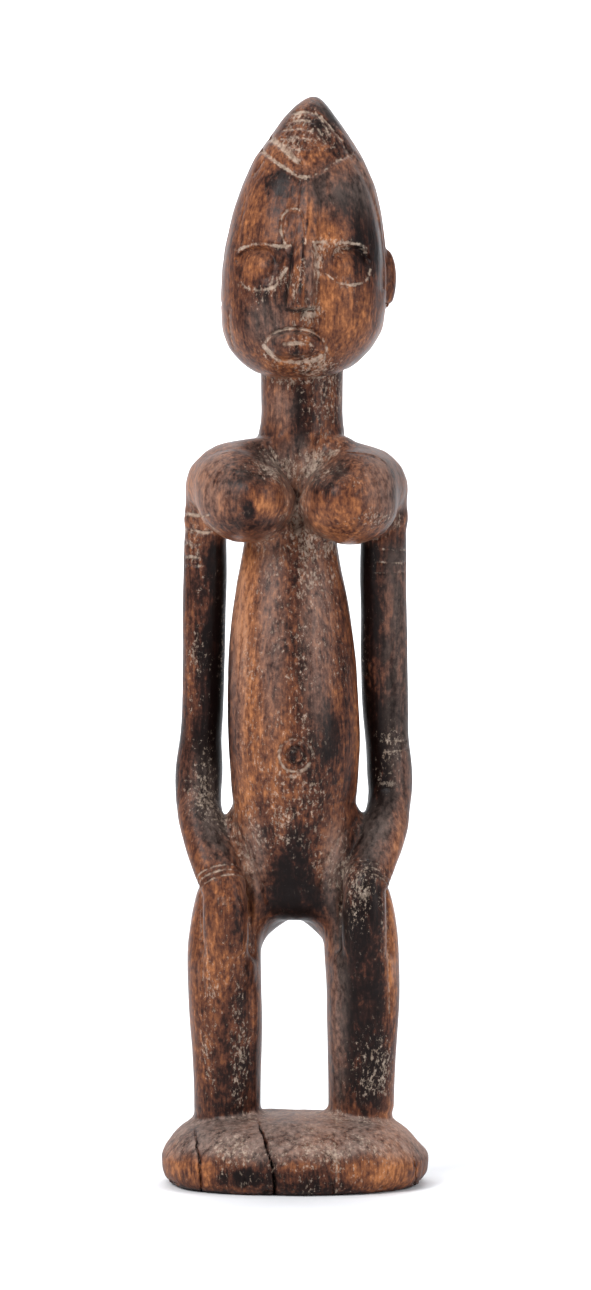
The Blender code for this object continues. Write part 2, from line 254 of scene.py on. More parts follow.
# ---------------------------------------------------------------- noise and strokes
def noise(points, size, seed):
    """Smooth noise from -1 to 1 whose lumps measure about size along X, Y and Z."""
    place = points / np.array(size) + seed * 17.3
    cell = np.floor(place).astype(np.int64)
    share = place - cell
    share = share * share * (3 - 2 * share)
    total = 0.0
    for corner in np.ndindex(2, 2, 2):
        lattice = cell + corner
        key = lattice @ np.array([73856093, 19349663, 83492791]) + seed * 2654435761
        key = (key ^ (key >> 13)) * 1274126177
        value = ((key ^ (key >> 16)) & 0xFFFF) / 32767.5 - 1
        weight = np.where(corner, share, 1 - share).prod(axis=1)
        total = total + weight * value
    return total


def smooth_line(points, steps=6):
    """A denser polyline on a Catmull-Rom curve through the points."""
    points = np.array(points, float)
    if len(points) < 3:
        return points
    ends = np.vstack([2 * points[0] - points[1], points, 2 * points[-1] - points[-2]])
    t = (np.arange(steps) / steps)[:, None]
    dense = []
    for a, b, c, d in zip(ends, ends[1:], ends[2:], ends[3:]):
        square, cube = 2 * a - 5 * b + 4 * c - d, 3 * b - a - 3 * c + d
        dense.append(0.5 * (2 * b + (c - a) * t + square * t**2 + cube * t**3))
    return np.vstack([*dense, points[-1:]])


def line_distance(flat, line):
    """The distance from each flat point to the polyline."""
    nearest = np.full(len(flat), np.inf)
    for a, b in zip(line, line[1:]):
        along = b - a
        t = np.clip((flat - a) @ along / (along @ along), 0, 1)
        nearest = np.minimum(nearest, np.hypot(*(flat - a - t[:, None] * along).T))
    return nearest


def groove(distance, width):
    """A V-like cut's share of its full depth at each distance from its middle."""
    return np.exp(-np.abs(2 * distance / width) ** 1.7)


# ---------------------------------------------------------------- the features and the knife lines
# Each anchor's rows: width, depth, dust held (below 0 dark stains, and painted shade beside and under the
# nose), and points across and up from the anchor.
FRONT_LINES = {}
FRONT_LINES["face"] = (
    (1.1, 0.50, 1.0, [(-24.6, 4.4), (-20.0, 6.0), (-15.9, 6.3), (-9.6, 5.2), (-5.2, 5.4)]),
    (1.2, 0.30, 1.0, [(-24.2, -8.3), (-22.1, -10.2), (-16.8, -11.2), (-11.4, -10.2), (-8.3, -5.7),
                      (-6.5, -3)]),
    (1.3, 0.40, 1.4, [(3.6, 6.6), (11.0, 6.8), (21.2, 6.0), (23.4, 3.3)]),
    (1.2, 0.45, 1.3, [(3.9, 5.4), (5.3, -1.5), (5.4, -8.0)]),
    (1.1, 0.25, 0.9, [(7.6, -4.8), (13.1, -8.5), (19.0, -9.3), (23.9, -7.1), (25.2, -3.0)]),
    (1.0, 0.35, 0.9, [(-6.6, 4.4), (-8.6, 10.2), (-8.8, 13.2), (-8.2, 16.6), (-6.4, 18.8)]),
    (1.0, 0.35, 0.8, [(-6.4, 18.8), (-4.6, 19.8), (-1.6, 18.6), (0.0, 14.6)]),
    (0.9, 0.35, 0.8, [(0.0, 14.6), (0.5, 10.4), (0.5, 6.0)]),
    # painted shade down the side of the nose
    (1.6, 0.10, -0.8, [(-4.6, 4.0), (-5.2, -4.0), (-6.8, -13.0), (-7.0, -17.0)]),
    (1.0, 0.20, 0.6, [(5.2, -7.0), (4.7, -13.0), (4.2, -18.6)]),
    # painted shade under the tip of the nose
    (1.3, 0.25, -0.9, [(-6.2, -18.6), (-2.0, -19.2), (3.4, -18.6)]),
    (0.9, 0.35, -0.9, [(-0.2, 8.0), (-0.6, -2.0), (-2.1, -16.7)]),
    (0.8, 0.25, -0.7, [(0.9, 11.0), (1.9, 22.9), (1.4, 31.8)]),
    (1.2, 0.10, -0.6, [(-11.4, -28.3), (-7.0, -27.2), (-1.0, -27.0), (4.0, -28.4), (7.0, -31.2)]),
    (1.2, 0.50, 1.0, [(-14.6, -31.0), (-12.3, -28.3), (-8.8, -26.5), (-4.2, -25.9), (2.0, -26.8),
                      (7.0, -30.2), (9.2, -35.4)]),
    (1.4, 0.35, 1.7, [(-15.2, -32.6), (-11.6, -36.4), (-8.8, -38.2), (-2.0, -38.6), (3.6, -38.0),
                      (6.6, -36.2)]),
    (1.5, 0.90, 0.9, [(-7.6, -31.9), (-2.0, -31.5), (2.4, -31.9)]),
    (0.8, 0.25, 0.1, [(-12.4, -32.2), (-7.6, -31.9), (2.4, -31.9), (6.2, -32.4)]),
    (0.8, 0.20, 0.3, [(-22.0, 25.0), (-23.5, 16.9), (-25.0, 7.9)]),
    (1.0, 0.25, 0.6, [(-28.4, -18.7), (-28.3, -26.0), (-26.6, -33.4)]),
    (1.8, 0.80, 0.35, [(16.2, 43.0), (20.8, 36.0), (25.8, 25.0), (28.8, 13.0), (30.0, 2.0), (30.2, -10.0)]),
)
FRONT_LINES["crown"] = (
    (1.3, 0.55, 1.4, [(-16.4, -21.3), (-12.3, -25.2), (-7.0, -29.2), (-2.0, -32.3), (0.9, -32.9)]),
    (2.3, 0.80, 1.3, [(-12.9, -16.6), (-7.8, -21.3), (-1.6, -27.6)]),
    (1.3, 0.45, 0.75, [(0.9, -32.8), (7.1, -30.7), (11.6, -27.0), (18.9, -23.0)]),
    (1.1, 0.50, 0.9, [(-8.4, -21.6), (-3.0, -21.0), (2.0, -21.8)]),
    (1.2, 0.55, 1.0, [(-8.6, -17.6), (-3.0, -17.0), (2.4, -18.2)]),
    (1.2, 0.55, 1.0, [(-7.6, -14.2), (-2.0, -13.6), (2.8, -14.6)]),
    (1.1, 0.50, 0.9, [(-5.4, -10.8), (-0.5, -10.3), (3.4, -11.2)]),
    (1.1, 0.45, 1.1, [(-3.6, -7.5), (0.5, -7.0), (3.6, -7.8)]),
    (1.0, 0.40, 1.1, [(4.3, -7.4), (7.6, -11.4), (9.2, -15.8)]),
    (0.9, 0.35, 0.8, [(5.4, -13.8), (8.2, -19.4)]),
    (1.1, 0.40, 1.1, [(6.6, -8.8), (13.2, -16.6), (16.7, -22.5)]),
    (1.0, 0.30, 0.7, [(-19.3, -31.6), (-15.6, -26.4)]),
    (0.7, 0.20, 0.3, [(-17.4, -33.0), (-15.0, -29.4)]),
)
FRONT_LINES["shoulders"] = (
    (3.0, 0.25, 0.38, [(-9.6, 13.6), (-4.6, 5.8), (0.5, -0.4), (-0.8, -8.6), (-3.4, -14.4), (-10.8, -20.6)]),
    (3.4, 0.30, 0.48, [(15.6, 13.0), (9.0, 7.4), (3.6, 3.2), (0.5, -0.4)]),
    (1.6, 0.25, 0.6, [(0.6, -12.4), (4.7, -18.3), (14.6, -22.2)]),
    (1.4, 0.30, 0.5, [(-40.2, -7.0), (-33.0, -15.4), (-26.4, -19.8), (-16.5, -21.2)]),
    (1.4, 0.30, 0.5, [(42.0, -12.8), (34.0, -19.6), (25.2, -22.3)]),
)
FRONT_LINES["right_upper_arm"] = (
    (1.1, 0.60, 1.1, [(-9.5, 56.2), (-5.0, 57.0), (0.0, 56.4), (3.0, 57.0)]),
    (1.4, 0.65, 1.0, [(-9.5, 50.6), (-5.0, 51.0), (1.0, 50.0), (4.0, 50.4)]),
    (1.8, 0.55, 0.7, [(-9.5, 46.6), (-6.0, 46.0), (-3.0, 45.0), (-1.0, 45.6)]),
    (1.1, 0.55, 1.0, [(-9.5, 40.0), (-4.0, 40.6), (-1.5, 40.2)]),
    (1.0, 0.40, 0.7, [(-9.5, 36.6), (-4.0, 37.2), (0.0, 37.0)]),
)
FRONT_LINES["left_upper_arm"] = (
    (1.0, 0.30, 0.6, [(-1.0, 43.6), (9.5, 43.0)]),
    (1.0, 0.35, 0.7, [(-3.0, 38.6), (9.5, 38.0)]),
    (0.9, 0.30, 0.5, [(-4.0, 34.4), (9.5, 34.6)]),
    (0.9, 0.40, 0.8, [(1.0, -30.4), (9.5, -30.9)]),
    (0.9, 0.40, 0.8, [(0.6, -34.8), (9.5, -34.1)]),
)
FRONT_LINES["pelvis"] = (
    (2.2, 0.50, 0.30, [(-24.2, 19.6), (-19.0, 9.0), (-14.6, -3.0), (-11.9, -12.8)]),
    (2.2, 0.50, 0.35, [(23.0, 19.6), (16.0, 11.0), (11.8, 2.4), (10.4, -6.4)]),
)
FRONT_LINES["plinth"] = (
    (0.7, 0.20, 0.7, [(4.0, 6.9), (4.2, 3.6)]),
    (1.1, 0.15, 0.8, [(15.9, 13.0), (15.2, 6.0), (15.8, -1.0), (15.6, -13.0)]),
    (0.9, 0.15, 0.7, [(-20.7, -4.8), (-20.3, -11.2)]),
    (0.8, 0.15, 0.6, [(6.0, -10.4), (7.0, -13.4)]),
)
FRONT_LINES["right_hand"] = ((1.0, 0.35, 0.45, [(-9.6, 17.0), (-9.3, 0.0), (-8.6, -14.0), (-7.8, -22.0)]),)
FRONT_LINES["left_hand"] = ((1.0, 0.40, 0.50, [(8.6, 20.0), (8.8, 6.0), (9.4, -12.0), (9.8, -28.0)]),)
for rise in (-20.4, -16.2, -12.8, -9.3):  # the slanting strokes between the rows of hair
    start = {-20.4: -8.8, -16.2: -8.2, -12.8: -6.6, -9.3: -4.0}[rise]
    rows = [(0.9, 0.40, 0.8, [(x, rise), (x + 1.5, rise + 2.6)]) for x in np.arange(start, 2.0, 2.0)]
    FRONT_LINES["crown"] += tuple(rows)


def anchor(name):
    """The point that front lines and patches are measured from."""
    if name == "crown":
        return np.array([middle("face")[0], 0, box("coiffure")[1][2]])
    return middle(name)


def front_lines(points):
    """How deep the front's knife lines are, what they hold (below 0 dark stains and painted shade) and how
    near they are.
    """
    depth, residue_and_shade, around = np.zeros((3, len(points)))
    for name, rows in FRONT_LINES.items():
        origin, limit = anchor(name)[[0, 2]], 4.0 if "arm" in name else -3.0
        ends = np.array([point for row in rows for point in row[3]])
        away = np.abs(points[:, [0, 2]] - origin - (ends.min(axis=0) + ends.max(axis=0)) / 2)
        inside = (away < np.ptp(ends, axis=0) / 2 + 8).all(axis=1)
        member = np.flatnonzero(inside & (points[:, 1] < limit))
        flat = points[member][:, [0, 2]] - origin
        for width, cut, pale, line in rows:
            line = smooth_line(line)
            low, high = line.min(axis=0) - 4 * width, line.max(axis=0) + 4 * width
            near = np.flatnonzero(((flat > low) & (flat < high)).all(axis=1))
            off = line_distance(flat[near], line)
            near = member[near]
            depth[near] = np.maximum(depth[near], cut * groove(off, width))
            share = pale * groove(off, width)
            residue_and_shade[near] = np.where(np.abs(share) > np.abs(residue_and_shade[near]), share, residue_and_shade[near])
            around[near] = np.maximum(around[near], pale * groove(off, 3.4 * width))
    return depth, residue_and_shade, around


WRIST_AXIS = np.array([0.284, -0.495, -0.82])  # the right forearm's; the left is its mirror image
# Where each arm's first ring lies, across and up from the forearm's middle, and how deep it is cut.
BRACELETS = {"right": ((2.9, -6.0), 0.55), "left": ((-3.2, -4.1), 0.35)}
RING_GAP = 2.2


def bracelets(points):
    """The three rings cut round each wrist."""
    depth, dust = np.zeros(len(points)), np.zeros(len(points))
    for side, ((across, up), cut) in BRACELETS.items():
        axis = WRIST_AXIS * (-SIDES[side], 1, 1)
        first = middle(side + "_forearm") * (1, 0, 1) + (across, box(side + "_hand")[0][1] + 1.5, up)
        away = points - first
        near = np.flatnonzero(np.abs(away).max(axis=1) < 16)
        along = away[near] @ axis
        for ring in range(3):
            share = groove(along - ring * RING_GAP, 0.9) * (1 - ramp(away[near][:, 1], 4, 14))
            depth[near] = np.maximum(depth[near], cut * share)
            dust[near] = np.maximum(dust[near], 1.7 * cut * share)
    return depth, dust


def combed(points):
    """The shallow combed furrows round the back and the sides of the hair."""
    low, high = box("coiffure")
    share = np.zeros(len(points))
    level = (points[:, 2] > low[2] + 20) & (points[:, 2] < high[2] - 12)
    near = np.flatnonzero(level & (points[:, 1] > -6))
    x, y, z = (points[near] - (middle("coiffure")[0], -1, low[2])).T
    radius = np.hypot(x, y)
    step = math.radians(15)
    turns = np.arctan2(x, y) / step
    off = np.abs(turns - np.round(turns)) * step * radius
    rear = ramp(y, -5, 2)
    furrow = groove(off, 1.1) * ramp(z, 27, 31) * (1 - ramp(z, 84, 90))
    ring = np.maximum(groove(z - 28, 1.3), groove(z - 91, 1.3))
    share[near] = np.maximum(furrow, ring) * rear * (radius < 40)
    return 0.35 * share, 0.25 * share


CRACKS = (  # X at the rim, lean across per mm inwards, drift per mm below the rim, width, depth, top
    (-14.8, 0.20, 0.18, 0.75, 2.6, 27.5),
    (-38.0, 0.05, 0.12, 0.65, 1.6, 24.0),
    (16.4, -0.10, 0.04, 0.50, 0.8, 20.0),
    (4.0, 0.00, 0.10, 0.45, 0.6, 12.0),
    (-21.5, 0.05, 0.10, 0.45, 0.6, 11.0),
    (45.0, 0.10, 0.05, 0.45, 0.7, 17.0),
)


def cracks(points):
    """The drying cracks that run up the front of the plinth."""
    top, depth = box("plinth")[1][2], np.zeros(len(points))
    near = np.flatnonzero((points[:, 2] < top) & (points[:, 1] < -8))
    x, y, z = points[near].T
    wander = 0.6 * noise(points[near], (40, 40, 5), 5) + 0.30 * noise(points[near], (40, 40, 1.3), 6)
    rag = 1.05 + 0.8 * noise(points[near], (40, 40, 2.2), 11)
    for place, lean, drift, width, cut, high in CRACKS:
        off = x - place - lean * (-y - 15) - drift * np.maximum(16 - z, 0) - wander
        depth[near] = np.maximum(depth[near], cut * groove(off, width * rag) * (1 - ramp(z, high - 6, high)))
    return depth


def eye(u, v, side):
    """A shallow socket with a sharp upper edge, and the closed lid's dome in it."""
    u, v, lid = {"right": (u + 16.2, v + 2.4, -2.0), "left": (u - 15.6, v + 1.9, 0.8)}[side]
    reach = (np.abs(u / 9.9) ** 2.6 + np.abs(v / 7.6) ** 2.6) ** (1 / 2.6)
    inner = ramp(-SIDES[side] * u, 1, 7)
    sharp = np.interp(v, (-6, 3), (0.40, 0.82)) * (1 - 0.5 * inner)
    socket = -(2.3 + 0.12 * v) * (1 - ramp(reach, sharp, 1.10))
    dome = np.clip(1 - ((u - lid) / 8.8) ** 2 - (v / 6.9) ** 2, 0, 1)
    return socket + 2.4 * dome**1.3


def nose(u, v):
    """The long straight nose, which runs on up the forehead as a low ridge."""
    heights = [-18.3, -5, 5.3, 9, 22.9, 31.1, 35]
    crest = np.interp(v, heights, [-2.0, -1.1, -0.2, 0.9, 1.7, 1.1, 1.0])
    left = np.interp(v, heights, [5.3, 4.3, 4.3, 4.6, 3.8, 2.0, 1.5])
    right = np.interp(v, heights, [5.6, 5.4, 4.2, 4.6, 3.8, 2.0, 1.5])
    rise = np.interp(v, heights, [6.8, 5.2, 3.2, 2.5, 1.7, 0.7, 0.0])
    share = np.abs(u - crest) / np.where(u < crest, left, right)
    roof = np.clip(1 - 0.62 * share, 0, 1) * (1 - ramp(share, 0.80, 1.14))
    return rise * roof * ramp(v, -19.4, -18.0)


def mouth(u, v):
    """The raised lens of the lips."""
    u, v = (u + 3.5) / 10.9, (v + 32.1) / 5.3
    reach = np.sqrt(np.abs(u) ** 1.7 + v**2)
    swell = 2.5 * (1 - ramp(reach, 0.70, 1.02)) + 0.5 * np.clip(1 - ((np.abs(v) - 0.5) / 0.35) ** 2, 0, 1)
    return swell * (reach < 1.02) - 0.6 * np.exp(-(((reach - 1.16) / 0.14) ** 2))


def tongue(u, v):
    """The flat raised tongue left of the ridge, above the nose."""
    reach = (np.abs((u + 4.2) / 4.5) ** 3 + np.abs((v - 9.5) / 9.8) ** 3) ** (1 / 3)
    return 0.9 * (1 - ramp(reach, 0.80, 1.0))


def face_relief(points):
    """The features of the face, as heights above its plain surface."""
    out = np.zeros(len(points))
    low, high = box("face")
    near = np.flatnonzero((points[:, 1] < -10) & (points[:, 2] > low[2] - 2) & (points[:, 2] < high[2]))
    centre = middle("face")
    u, v = points[near, 0] - centre[0], points[near, 2] - centre[2]
    features = np.maximum(nose(u, v), tongue(u, v))
    out[near] = features + eye(u, v, "right") + eye(u, v, "left") + mouth(u, v)
    return out


def navel_ring(points):
    """The rings round the navel: how deep they are cut, and the dust in the outer one."""
    centre = middle("navel")
    away = points - centre
    off = np.hypot(away[:, 0], away[:, 2])
    front = (points[:, 1] < -18) & (off < 12)
    ring = 1.0 * groove(off - 6.2, 1.7) + 0.7 * groove(off - 3.4, 1.3)
    pale = 1.4 * groove(off - 6.4, 1.2) * (1 - 0.6 * ramp(away[:, 0] + away[:, 2], 0, 5))
    return ring * front, pale * front


def handwork(points):
    """The uneven surface that the knife left, the left shoulder's slope and the plinth's battered rim."""
    broad, fine = noise(points, (7, 7, 16), 1), noise(points, (2.6, 2.6, 8), 2)
    across, height = points[:, 0], points[:, 2]
    out = (0.24 * broad + 0.07 * fine) * ramp(height, 0.1, 2.0)
    slant = ((across - 28) / 9) ** 2 + ((height - box("shoulders")[1][2]) / 5) ** 2
    out -= 1.5 * np.exp(-slant) * ramp(across, 19, 24)
    top = box("plinth")[1][2]
    near = np.flatnonzero(height < top + 4)
    x, z = across[near], height[near]
    lumps = 0.55 * noise(points[near], (13, 13, 9), 3) + 0.16 * noise(points[near], (3.5, 3.5, 3.0), 4)
    chips = -0.9 * ramp(noise(points[near], (7, 7, 5), 8), 0.35, 0.7) * (1 - ramp(z, 2, 5))
    slope = -2.6 * np.exp(-(((x - 49) / 8) ** 2)) - 1.2 * np.exp(-(((x + 50) / 6) ** 2))
    out[near] += (lumps + chips) * (1 - ramp(z, top - 6, top + 4)) * ramp(z, 0.2, 2.0)
    out[near] += slope * ramp(z, 10, 17) * (1 - ramp(z, top, top + 3))
    return out


def relief(points):
    """How far the carved surface stands out from the plain form; cuts are negative."""
    cuts = [work(points)[0] for work in (front_lines, bracelets, combed, navel_ring)]
    return face_relief(points) + handwork(points) - np.maximum.reduce([*cuts, cracks(points)])


def carved(points):
    """The distance to the carved surface."""
    return sampled(FIELD, points) - relief(points)


def gradient(points, step=0.2):
    """The slope of the carved field, which points out of the wood."""
    slope = np.empty_like(points)
    for axis in range(3):
        shift = np.zeros(3)
        shift[axis] = step
        slope[:, axis] = (carved(points + shift) - carved(points - shift)) / (2 * step)
    return slope


# ---------------------------------------------------------------- meshing
REACH = 7.4


def carved_mesh():
    """One closed mesh of the whole figure, with its points drawn onto the carved surface."""
    field, neck = FIELD.copy(), int(box("neck")[0][2] / VOXEL) - FIRST[2]
    reach = np.full(SHAPE[2], 2.4)
    reach[neck:] = REACH
    cells = np.argwhere(np.abs(FIELD) < reach)
    field[tuple(cells.T)] -= relief((cells + FIRST) * VOXEL).astype(np.float32)
    points, quads = surface_of(field)
    mesh = bpy.data.meshes.new("figure")
    mesh.from_pydata(points.tolist(), [], quads.tolist())
    return mesh


def drawn(points, rounds):
    """The points after Newton steps onto the carved surface."""
    for _ in range(rounds):
        slope = gradient(points)
        step = carved(points) / np.maximum((slope**2).sum(axis=1), 0.25)
        points = points - slope * np.clip(step, -0.5, 0.5)[:, None]
    return points


def coordinates(mesh):
    points = np.empty(3 * len(mesh.vertices))
    mesh.vertices.foreach_get("co", points)
    return points.reshape(-1, 3)


def detail(points):
    """True where the carving is fine: near a cut, and on the features of the face."""
    cuts = [front_lines(points)[0], bracelets(points)[0], combed(points)[0], cracks(points)]
    return (np.maximum.reduce(cuts) > 0.02) | (np.abs(face_relief(points)) > 0.1)


def refined(mesh, wanted):
    """The mesh with the faces in the wanted places split in four."""
    chosen = wanted(coordinates(mesh))
    work = bmesh.new()
    work.from_mesh(mesh)
    work.verts.ensure_lookup_table()
    faces = [face for face in work.faces if any(chosen[vert.index] for vert in face.verts)]
    edges = list({edge for face in faces for edge in face.edges})
    bmesh.ops.subdivide_edges(work, edges=edges, cuts=1, use_grid_fill=True)
    work.to_mesh(mesh)
    work.free()
    return mesh


# ---------------------------------------------------------------- parting the figure into its members
ORDER = ("navel", "right_ear", "left_ear", "face", "coiffure", "neck", "right_breast", "left_breast",
         "right_hand", "left_hand", "right_forearm", "left_forearm", "right_upper_arm", "left_upper_arm",
         "shoulders", "right_leg", "left_leg", "plinth", "torso", "pelvis")
CUTTER_REACH = 4.0  # how far a cutter stands off its own solid where nothing else is near
OUTSIDE, CUT = 0, 1  # material slots that tell the carved surface from the cut faces


def cutter_meshes():
    """For each member but the last, a closed mesh round what lies nearer to it than to any later member."""
    meshes, others = {}, solid_field(ORDER[-1])
    for node in reversed(ORDER[:-1]):
        own = solid_field(node)
        low, high = box(node)
        first = np.maximum(np.floor((low - 8) / VOXEL).astype(int) - FIRST, 0)
        last = np.minimum(np.ceil((high + 8) / VOXEL).astype(int) - FIRST + 1, SHAPE)
        window = tuple(slice(a, b) for a, b in zip(first, last))
        nearer = np.maximum(softened(own[window] - others[window], 1.0), own[window] - CUTTER_REACH)
        points, quads = surface_of(nearer, FIRST + first)
        meshes[node] = bpy.data.meshes.new(node + "_cutter")
        meshes[node].from_pydata(points.tolist(), [], quads.tolist())
        others = np.minimum(others, own)
    return meshes


def with_slots(mesh, slot):
    """The mesh with both material slots, and all its faces in one of them."""
    for _ in range(2 - len(mesh.materials)):
        mesh.materials.append(None)
    mesh.polygons.foreach_set("material_index", [slot] * len(mesh.polygons))
    return mesh


def combined(mesh, cutter, operation):
    """What a Boolean makes of a mesh and a cutter."""
    pair = [bpy.data.objects.new(name, data) for name, data in (("rest", mesh), ("cutter", cutter))]
    for obj in pair:
        bpy.context.scene.collection.objects.link(obj)
    cut = pair[0].modifiers.new("cut", "BOOLEAN")
    cut.object, cut.operation, cut.solver = pair[1], operation, "MANIFOLD"
    result = bpy.data.meshes.new_from_object(pair[0].evaluated_get(bpy.context.evaluated_depsgraph_get()))
    for obj in pair:
        bpy.data.objects.remove(obj)
    return result


def parted(rest):
    """The figure's mesh as one closed mesh for each member."""
    cutters, members = cutter_meshes(), {}
    rest = with_slots(rest, OUTSIDE)
    for node in ORDER[:-1]:
        cutter = with_slots(cutters[node], CUT)
        members[node] = combined(rest, cutter, "INTERSECT")
        rest = combined(rest, cutter, "DIFFERENCE")
    members[ORDER[-1]] = rest
    return members


def cleaned(mesh):
    """The mesh without the loose slivers that a cut leaves beside the member."""
    edges = np.empty(2 * len(mesh.edges), np.int32)
    mesh.edges.foreach_get("vertices", edges)
    a, b = edges.reshape(-1, 2).T
    island, before = np.arange(len(mesh.vertices)), None
    while before is None or (island != before).any():
        before = island.copy()
        lowest = np.minimum(island[a], island[b])
        np.minimum.at(island, a, lowest)
        np.minimum.at(island, b, lowest)
        island = island[island]
    loose = np.flatnonzero(island != np.bincount(island).argmax())
    if len(loose):
        work = bmesh.new()
        work.from_mesh(mesh)
        work.verts.ensure_lookup_table()
        bmesh.ops.delete(work, geom=[work.verts[i] for i in loose], context="VERTS")
        work.to_mesh(mesh)
        work.free()
    return mesh
